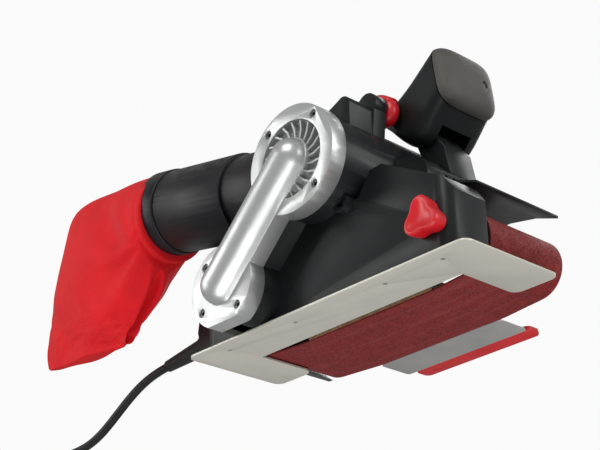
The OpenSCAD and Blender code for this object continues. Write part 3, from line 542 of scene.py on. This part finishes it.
# Finishes for the carried-over parts
finishOf = {
    "plateSteel": ["sanding_frame"],
    "shoeGrey": ["side_shoe", "shoe_bracket"],
    "redRubber": ["shoe_bumper"],
    "abrasiveRed": ["sanding_belt"],
    "brightSteel": ["platen", "idler_drum", "rotor_shaft", "counter_shaft", "drive_shaft", "idler_axle",
                    "motor_bearings", "counter_bearings", "drum_bearings", "idler_bearings", "tracking_screw",
                    "motor_pulley", "counter_pulley", "handle_pin"],
    "corkBrown": ["cork_pad"],
    "castSilver": ["drive_cover", "drive_drum"],
    "vaneSilver": ["vane_ring"],
    "darkSteel": ["chassis", "cover_screws", "pinion", "drive_gear", "idler_carriage", "tension_spring",
                  "release_lever", "armature", "stator", "cap_screw"],
    "coverGraphite": ["side_cover"],
    "housingBlack": ["belt_hood", "motor_housing", "motor_end_cap", "cooling_fan", "handle_bracket"],
    "handleBlack": ["handle_right", "handle_left", "switch", "front_grip", "trigger"],
    "lagRubber": ["drum_lagging", "toothed_belt"],
    "copperWire": ["commutator", "brush_gear"],
    "buttonGrey": ["lock_button"],
    "redPlastic": ["tracking_knob", "clamp_lever"],
    "capRubber": ["grip_cap"],
    "ductBlack": ["dust_port", "dust_spout", "bag_collar"],
    "bagCloth": ["dust_bag"],
    "cordBlack": ["strain_relief", "cord", "cord_coil", "plug"],
}
for finishName, nodeNames in finishOf.items():
    for nodeName in nodeNames:
        mesh = nodes[nodeName].data
        mesh.materials.clear()
        mesh.materials.append(finishes[finishName])
unpainted = set(nodes) - {n for names in finishOf.values() for n in names}
assert not unpainted, unpainted


# Cord, coil and plug
lead = {
    "radius": 0.0035,
    "sides": 14,
    "route": [
        (-262, -9, 45), (-275, -9, 43.6), (-288, -9, 41), (-301, -9, 36.6), (-314, -9, 30.4), (-326, -9, 23.6),
        (-338, -9, 16.8), (-350, -9, 10.8), (-363, -9, 6.4), (-377, -9, 4.2), (-392, -9.5, 3.5), (-408, -11, 3.5),
        (-424, -13.5, 3.5), (-440, -17, 3.5), (-453, -21.5, 3.5), (-466, -26.8, 3.5),
    ],
    "coilCentre": (-478.0, -82.0),
    "coilStart": (-478, -31, 3.5),
    "coilRadius": 51.0,
    "coilDegrees": 2610.0,
    # Each step: the winding angle at its middle, its width in degrees, and the move in mm
    "outwardSteps": [(45, 90, -5.5), (280, 160, -7.0), (640, 160, -7.0), (1485, 110, 7.0), (2020, 100, 7.0)],
    "heightSteps": [(870, 100, 7.0), (1230, 100, 7.0), (1750, 80, -7.0), (2295, 70, 7.0)],
    "endRoll": {"middle": 2550, "width": 120, "degrees": 98, "radius": 7.15},
    "plug": (-529.0, -88.5, 9.5),
}


def eased(angle, centre, width):
    # Rises smoothly from 0 to 1 over a window of the winding angle
    s = np.clip((angle - centre) / width + 0.5, 0, 1)
    return s * s * (3 - 2 * s)


def coilPath():
    # A circle whose radius and height move in eased steps: inwards on the floor, up the inside, outwards
    # over the lower turns, and off the top of the outer turn along a short arc
    angle = np.arange(0, lead["coilDegrees"] + 0.1, 10.0)
    outward = lead["coilRadius"] + sum(move * eased(angle, at, width) for at, width, move in lead["outwardSteps"])
    height = lead["coilStart"][2] + sum(move * eased(angle, at, width) for at, width, move in lead["heightSteps"])
    end = lead["endRoll"]
    roll = math.radians(end["degrees"]) * eased(angle, end["middle"], end["width"])
    outward += end["radius"] * np.sin(roll)
    height += end["radius"] * (np.cos(roll) - 1)
    turnAt = np.radians(90 + angle)
    x = lead["coilCentre"][0] + outward * np.cos(turnAt)
    y = lead["coilCentre"][1] + outward * np.sin(turnAt)
    return np.stack([x, y, height], axis=1)


freePart = splinePoints(np.array(lead["route"] + [lead["coilStart"]], dtype=float), 4)[:-1]
leadPath = np.vstack([freePart, coilPath(), [lead["plug"]]]) * 0.001
cordPiece = makeTube("powerCord", leadPath, lead["radius"], lead["sides"], finishes["cordBlack"], bodyOf["cord"])
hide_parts("cord", "cord_coil")
plugPiece = roundedCopy("plug", 0.0012, finishes["cordBlack"], name="mainsPlug")


# Dust bag
bag = {
    "mouthCentre": (-199.5, 139.5),
    "rear": [(-192.2, 173.7), (-217, 180), (-255, 184.5), (-290, 187), (-312, 184), (-325, 170), (-336, 141),
             (-345, 118), (-354, 92), (-360, 70), (-357, 56)],
    "front": [(-206.8, 105.3), (-209, 97), (-215, 86), (-226, 73), (-238, 60), (-249, 48), (-257, 44)],
    "y": -60.0,
    "mouthRadius": 35.0,
    "fullness": 27.0,
    "around": 168,
    "rows": 64,
    "fill": 0.4,
    # Depths in mm of the pleat, its creased edges, and each kind of fold
    "tuck": 12.0,
    "crease": 1.2,
    "mouthFold": 2.1,
    "seamFold": 1.5,
    "slack": 2.2,
    "gather": 0.45,
    "ripple": 0.9,
    # Profile of the hem: distance ahead of the mouth and radius
    "hem": [(7.0, 34.35), (6.6, 35.3), (4.6, 36.1), (2.4, 35.9), (1.2, 35.1)],
    "settle": {"frames": 10, "pressure": 1.2, "cap": 0.004, "heldRings": 7},
}


def evenCurve(points, count):
    # Smooth curve through the points, at even steps of its own length
    dense = splinePoints(np.column_stack([np.array(points, dtype=float), np.zeros(len(points))]), 20)[:, :2]
    run = np.concatenate([[0], np.cumsum(np.linalg.norm(np.diff(dense, axis=0), axis=1))])
    at = np.linspace(0, run[-1], count)
    return np.column_stack([np.interp(at, run, dense[:, 0]), np.interp(at, run, dense[:, 1])])


def softStep(value, low, high):
    t = np.clip((value - low) / (high - low), 0, 1)
    return t * t * (3 - 2 * t)


def bagSurface():
    # Loft from the round mouth to the flat bottom seam; v runs down the bag, u round each section
    s = np.linspace(0, 1, bag["rows"])
    rear, front = evenCurve(bag["rear"], len(s)), evenCurve(bag["front"], len(s))
    u = turnSteps(bag["around"])
    middle, reach = (rear + front) / 2, (rear - front) / 2
    full = bag["mouthRadius"] * (1 - softStep(s, 0.0, 0.30)) + bag["fullness"] * softStep(s, 0.0, 0.30)
    full = full * (1 - 0.30 * softStep(s, 0.35, 0.8)) * (1 - 0.72 * softStep(s, 0.72, 1.0))
    flat = softStep(s, 0.02, 0.25)[:, None]
    along = np.cos(u)[None] * np.ones_like(s)[:, None]
    side = signedPower(np.sin(u), 0.85)
    across = np.sin(u)[None] * (1 - flat) + side[None] * flat
    # Gusset down the front: a pleat tucked inwards between two creased edges
    fromFront = np.abs(np.angle(np.exp(1j * (u - np.pi))))
    tuckDepth = (softStep(s, 0.05, 0.3) * (1 - 0.5 * softStep(s, 0.8, 1.0)))[:, None]
    tuck = np.exp(-((fromFront / 0.11) ** 2))[None] * tuckDepth
    length = np.linalg.norm(reach, axis=1)[:, None]
    along = along + tuck * bag["tuck"] / length
    crease = np.exp(-(((fromFront - 0.24) / 0.10) ** 2))[None] * flat
    along = along - crease * bag["crease"] / length
    x = middle[:, :1] + along * reach[:, :1]
    z = middle[:, 1:] + along * reach[:, 1:]
    y = across * full[:, None]
    # Long soft folds that run out from the mouth and up from the bottom seam, with small puckers
    away = np.hypot(x + 206, z - 110)
    bearing = np.arctan2(z - 110, -(x + 206))
    fan = np.sin(bearing * 7.0 + 0.5 * np.sin(away / 17.0)) * np.exp(-(((away - 40.0) / 38.0) ** 2))
    rise = np.sin((x * 0.9 - z * 0.35) / 9.5 + 0.8 * np.sin(z / 21.0)) * softStep(s, 0.62, 0.95)[:, None]
    slack = np.sin((x + z) / 31.0 + 1.1) * np.sin((x - 1.7 * z) / 43.0) * softStep(s, 0.1, 0.4)[:, None]
    gather = np.sin(u * 21.0)[None] * np.exp(-((s / 0.07) ** 2))[:, None]
    folds = fan * bag["mouthFold"] * flat + rise * bag["seamFold"] + slack * bag["slack"]
    y = y + folds * signedPower(np.sin(u), 0.5)[None] + gather * bag["gather"] * np.sin(u)[None]
    ripple = bag["ripple"] * np.sin(z / 11.0 + x / 19.0)
    shift = gather * bag["gather"] + ripple * flat * np.abs(np.cos(u))[None]
    x = x + shift * np.cos(u)[None] * reach[:, :1] / length
    z = z + shift * np.cos(u)[None] * reach[:, 1:] / length
    body = np.stack([x, y + bag["y"], z], axis=-1)
    # The hem: a rolled band that grips the collar just ahead of the mouth
    ahead, up = np.array([0.978, 0.0, -0.208]), np.array([0.208, 0.0, 0.978])
    centre = np.array([bag["mouthCentre"][0], bag["y"], bag["mouthCentre"][1]])
    spoke = np.cos(u)[:, None] * up + np.sin(u)[:, None] * np.array([0.0, 1.0, 0.0])
    rings = [centre + ahead * step + r * spoke for step, r in bag["hem"]]
    return np.concatenate([np.array(rings), body]) * 0.001


bagPoints = bagSurface()
bagRows, bagColumns = bagPoints.shape[:2]
bagFaces = shellFaces(bagRows, bagColumns)
bagPiece = makePiece("dustBagCloth", bagPoints.reshape(-1, 3), bagFaces, finishes["bagCloth"])
flipOutward(bagPiece)


def settle(thing, frames, pressure, cap, pinned):
    # Lets the cloth swell and slump with its mouth held, and keeps each point within the cap
    hold = thing.vertex_groups.new(name="mouth")
    hold.add(list(range(pinned)), 1.0, "REPLACE")
    cloth = thing.modifiers.new("swell", "CLOTH")
    cloth.settings.vertex_group_mass = "mouth"
    cloth.settings.use_pressure = True
    cloth.settings.uniform_pressure_force = pressure
    cloth.settings.tension_stiffness = 15.0
    cloth.settings.compression_stiffness = 5.0
    cloth.settings.bending_stiffness = 0.2
    cloth.settings.effector_weights.gravity = 0.0
    cloth.settings.quality = 6
    scene = bpy.context.scene
    before = np.empty(len(thing.data.vertices) * 3)
    thing.data.vertices.foreach_get("co", before)
    for number in range(1, frames + 1):
        scene.frame_set(number)
    swollen = thing.evaluated_get(bpy.context.evaluated_depsgraph_get()).data
    after = np.empty(len(before))
    swollen.vertices.foreach_get("co", after)
    thing.modifiers.clear()
    scene.frame_set(1)
    move = (after - before).reshape(-1, 3)
    size = np.linalg.norm(move, axis=1, keepdims=True)
    move *= np.minimum(1.0, cap / np.maximum(size, 1e-9))
    thing.data.vertices.foreach_set("co", (before.reshape(-1, 3) + move).ravel())
    thing.data.update()
    thing.vertex_groups.clear()
    print("bag settled, largest move in mm:", round(float(size.max()) * 1000, 1))


rule = bag["settle"]
settle(bagPiece, rule["frames"], rule["pressure"], rule["cap"], bagColumns * rule["heldRings"])
smoothBag = bagPiece.modifiers.new("smooth", "SUBSURF")
smoothBag.levels = smoothBag.render_levels = 1
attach(bagPiece, "bag")
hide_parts("dust_bag")
print("dust bag made, points:", len(bagPiece.data.vertices))


# Front grip, its rubber cap, the clamp lever and the tracking knob
grip = {
    "top": [(5, 151), (11, 160), (33, 176.5), (56, 193.5)],
    "bottom": [(9, 143), (22, 128), (39, 122.5), (60.6, 144)],
    "halfWidth": 29.6,
    "squareness": 4.2,
    "rows": 40,
    "around": 72,
    "slot": [(6.5, 90), (6.5, 150), (9.4, 157.2), (13.6, 159.8), (33.5, 174), (36, 172), (45, 150), (51, 135),
             (54, 90)],
    "slotHalf": 15.5,
    "edge": 0.0012,
    "capHeight": 13.0,
    "capGap": 0.6,
    "capLean": -2.2,
    "capRings": 22,
    "capOutward": (0.9953, 0.0, 0.0976),
    "screwAt": (12.0, 168.0),
    "boreRadius": 0.0031,
    # Radius and depth below the cap's face, from the wall of the cup to the recess in the head
    "screwProfile": [(3.0, -3.6), (3.0, -1.9), (2.6, -1.7), (2.4, -2.0), (2.2, -2.2), (1.1, -2.2), (1.0, -3.2),
                     (0.05, -3.2)],
    "screwSides": 40,
}


def squareRing(u, squareness):
    # Superellipse: a rectangle with soft corners; cos and sin raised to 2 over the squareness
    c, n = np.cos(u), np.sin(u)
    return signedPower(c, 2 / squareness), signedPower(n, 2 / squareness)


def gripRows():
    # Sections from the hub to the cap's seat, each a soft rectangle between the two side lines
    top, bottom = evenCurve(grip["top"], grip["rows"]), evenCurve(grip["bottom"], grip["rows"])
    tall, wide = squareRing(turnSteps(grip["around"]), grip["squareness"])
    middle, reach = (top + bottom) / 2, (top - bottom) / 2
    s = np.linspace(0, 1, grip["rows"])
    half = grip["halfWidth"] * (1 - 0.10 * (1 - softStep(s, 0.0, 0.25)))
    x = middle[:, :1] + tall[None] * reach[:, :1]
    z = middle[:, 1:] + tall[None] * reach[:, 1:]
    y = half[:, None] * wide[None]
    return np.stack([x, y, z], axis=-1)


def cutAway(thing, cutter):
    # Takes the cutter's volume out of the piece and keeps the result as its mesh
    cut = thing.modifiers.new("cut", "BOOLEAN")
    cut.operation = "DIFFERENCE"
    cut.object = cutter
    mesh = bpy.data.meshes.new_from_object(thing.evaluated_get(bpy.context.evaluated_depsgraph_get()))
    thing.modifiers.clear()
    thing.data = mesh
    bpy.data.objects.remove(cutter)
    shade(mesh)


def makeGripBody():
    rows = gripRows() * 0.001
    thing = makePiece("frontGripBody", rows.reshape(-1, 3), shellFaces(*rows.shape[:2]), finishes["handleBlack"])
    flipOutward(thing)
    # The slot for the neck that carries the grip, cut through from below
    outline = np.array(grip["slot"]) * 0.001
    n = len(outline)
    sides = [np.column_stack([outline[:, 0], np.full(n, y * 0.001), outline[:, 1]])
             for y in (-grip["slotHalf"], grip["slotHalf"])]
    walls = [[i, (i + 1) % n, n + (i + 1) % n, n + i] for i in range(n)]
    cheeks = [list(range(n))[::-1], list(range(n, 2 * n))]
    cutter = makePiece("slotCutter", np.vstack(sides), walls + cheeks, finishes["handleBlack"])
    flipOutward(cutter)
    cutAway(thing, cutter)
    roundEdges(thing, grip["edge"], edgeRound["gripAngle"])
    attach(thing, bodyOf["front_grip"])
    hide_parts("front_grip")


def makeGripCap():
    # Dome over the end section: rings shrink inwards as they rise, steep at the rim and flat on top
    seat = gripRows()[-1]
    middle = seat.mean(axis=0)
    rise = np.linspace(0.0, 1.0, grip["capRings"]) * np.pi / 2
    lift = np.concatenate([[0.0], np.sin(rise) ** 0.9])[:-1, None, None]
    shrink = np.concatenate([[1.0], np.cos(rise) ** 0.62])[:-1, None, None]
    lean = np.array([0.0, 0.0, grip["capLean"]]) * lift
    outward = np.array(grip["capOutward"]) * (grip["capGap"] + lift * grip["capHeight"])
    rings = (middle + (seat - middle) * shrink + outward + lean) * 0.001
    thing = makePiece("gripCapRubber", rings.reshape(-1, 3), shellFaces(*rings.shape[:2]), finishes["capRubber"])
    flipOutward(thing)
    smooth = thing.modifiers.new("smooth", "SUBSURF")
    smooth.levels = smooth.render_levels = 1
    # Counterbored screw: a bore through the dome, and the screw's own cup at the bottom of it
    y, z = grip["screwAt"]
    face = 58.7 + grip["capHeight"] * (1 - 0.16 * np.hypot(y / 29.6, (z - 168.5) / 25.5) ** 2)
    bore = np.array([[face + step, y, z] for step in (-4.0, -1.0, 2.0, 5.0)]) * 0.001
    around, profile = grip["screwSides"], grip["screwProfile"]
    cutAway(thing, makeTube("boreCutter", bore, grip["boreRadius"], around, finishes["capRubber"]))
    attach(thing, bodyOf["grip_cap"])
    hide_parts("grip_cap")
    u = turnSteps(around)
    points = [np.stack([np.full(around, face + h), y + r * np.cos(u), z + r * np.sin(u)], axis=-1) for r, h in profile]
    faces = gridFaces(len(profile), around)
    faces.append(list(range((len(profile) - 1) * around, len(profile) * around))[::-1])
    points = np.array(points).reshape(-1, 3) * 0.001
    cup = makePiece("capScrewCup", points, faces, finishes["darkSteel"], bodyOf["cap_screw"])
    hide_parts("cap_screw")


lever = {
    "pivot": (17.0, -37.5, 150.0),
    "ballRadius": 11.3,
    "ballHalfWidth": 6.4,
    "spine": [(24, 154), (15, 159), (5, 161.5), (-4, 165), (-11, 168.5)],
    # Half thickness and half width of the beak at these shares of its length
    "shares": [0, 0.3, 0.7, 0.93, 1.0],
    "thick": [5.0, 6.2, 3.6, 2.6, 0.9],
    "wide": [5.6, 6.3, 5.8, 5.0, 3.4],
    "squareness": 2.7,
    "around": 48,
    "ballRings": 25,
    "beakRings": 26,
}


def makeClampLever():
    # Duck's bill: a flattened ball at the pivot and a tapering beak that rises from it
    pivotX, pivotY, pivotZ = lever["pivot"]
    around, ballRings, beakRings = lever["around"], lever["ballRings"], lever["beakRings"]
    u = turnSteps(around)
    v = np.linspace(-np.pi / 2 + 0.03, np.pi / 2 - 0.03, ballRings)[:, None]
    reach = lever["ballRadius"] * signedPower(np.cos(v), 0.62)
    level = pivotY + lever["ballHalfWidth"] * signedPower(np.sin(v), 0.8)
    ball = np.stack([pivotX + reach * np.cos(u), np.broadcast_to(level, (ballRings, around)),
                     pivotZ + reach * np.sin(u)], axis=-1)
    spine = evenCurve(lever["spine"], beakRings)
    s = np.linspace(0, 1, beakRings)
    along = unit(np.gradient(spine, axis=0))
    thick = np.interp(s, lever["shares"], lever["thick"])[:, None]
    wide = np.interp(s, lever["shares"], lever["wide"])[:, None]
    tall, side = squareRing(u, lever["squareness"])
    beak = np.stack([spine[:, :1] - along[:, 1:] * thick * tall, pivotY + wide * side,
                     spine[:, 1:] + along[:, :1] * thick * tall], axis=-1)
    faces = shellFaces(ballRings, around) + shellFaces(beakRings, around, start=ballRings * around)
    points = np.vstack([ball.reshape(-1, 3), beak.reshape(-1, 3)]) * 0.001
    thing = makePiece("clampLeverBill", points, faces, finishes["redPlastic"])
    flipOutward(thing)
    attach(thing, bodyOf["clamp_lever"])
    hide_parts("clamp_lever")


knob = {
    "centre": (87.0, 25.0),
    "radius": 12.6,
    "lobe": 2.6,
    "rings": 44,
    "around": 96,
    # Share of the rim's radius and Y in mm, from the middle of the face to the middle of the back
    "profile": [(0.02, -90.2), (0.30, -90.4), (0.55, -91.2), (0.74, -92.3), (0.87, -92.9), (0.95, -92.4),
                (0.99, -91.0), (1.0, -89.0), (0.985, -86.0), (0.95, -83.5), (0.93, -81.2), (0.90, -80.7),
                (0.30, -80.7), (0.02, -80.7)],
    "profileRadius": 14.0,
}


def makeTrackingKnob():
    # Three-lobed knob: lobes from a cosine round the rim, a rounded shoulder and a shallow dished face
    u = turnSteps(knob["around"])
    rim = knob["radius"] + knob["lobe"] * np.cos(3 * (u - np.pi / 2))
    share, level = np.array(knob["profile"]).T
    evenShare, evenLevel = evenCurve(list(zip(share * knob["profileRadius"], level)), knob["rings"]).T
    r = (evenShare[:, None] / knob["profileRadius"]) * rim
    x, z = knob["centre"]
    points = np.stack([x + r * np.cos(u), np.broadcast_to(evenLevel[:, None], r.shape), z + r * np.sin(u)], axis=-1)
    points = points.reshape(-1, 3) * 0.001
    thing = makePiece("trackingKnobLobes", points, shellFaces(*r.shape), finishes["redPlastic"])
    flipOutward(thing)
    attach(thing, bodyOf["tracking_knob"])
    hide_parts("tracking_knob")


makeTrackingKnob()
makeGripBody()
makeGripCap()
makeClampLever()
print("front grip, cap and lever made")


# Castings, mouldings and rubber with rounded edges: finish and radius in metres
rounding = {
    "drive_cover": ("castSilver", 0.0008),
    "side_cover": ("coverGraphite", 0.0012),
    "motor_housing": ("housingBlack", 0.0010),
    "motor_end_cap": ("housingBlack", 0.0008),
    "belt_hood": ("housingBlack", 0.0008),
    "handle_right": ("handleBlack", 0.0030),
    "handle_left": ("handleBlack", 0.0030),
    "handle_bracket": ("housingBlack", 0.0008),
    "dust_port": ("ductBlack", 0.0008),
    "dust_spout": ("ductBlack", 0.0010),
    "bag_collar": ("ductBlack", 0.0012),
    "strain_relief": ("cordBlack", 0.0008),
    "side_shoe": ("shoeGrey", 0.0003),
    "shoe_bumper": ("redRubber", 0.0010),
    "sanding_frame": ("plateSteel", 0.0003),
    "trigger": ("handleBlack", 0.0008),
    "lock_button": ("buttonGrey", 0.0006),
    "release_lever": ("darkSteel", 0.0006),
}
for nodeName, (finishName, width) in rounding.items():
    roundedCopy(nodeName, width, finishes[finishName])
print("rounded pieces:", len(rounding))


# Floor
floorSize, floorLevel = 3.0, -0.0008
floorCorners = [(x * floorSize, y * floorSize, floorLevel) for x, y in ((-1, -1), (1, -1), (1, 1), (-1, 1))]
floorPiece = makePiece("floor", floorCorners, [[0, 1, 2, 3]], floorMaterial, smooth=False)
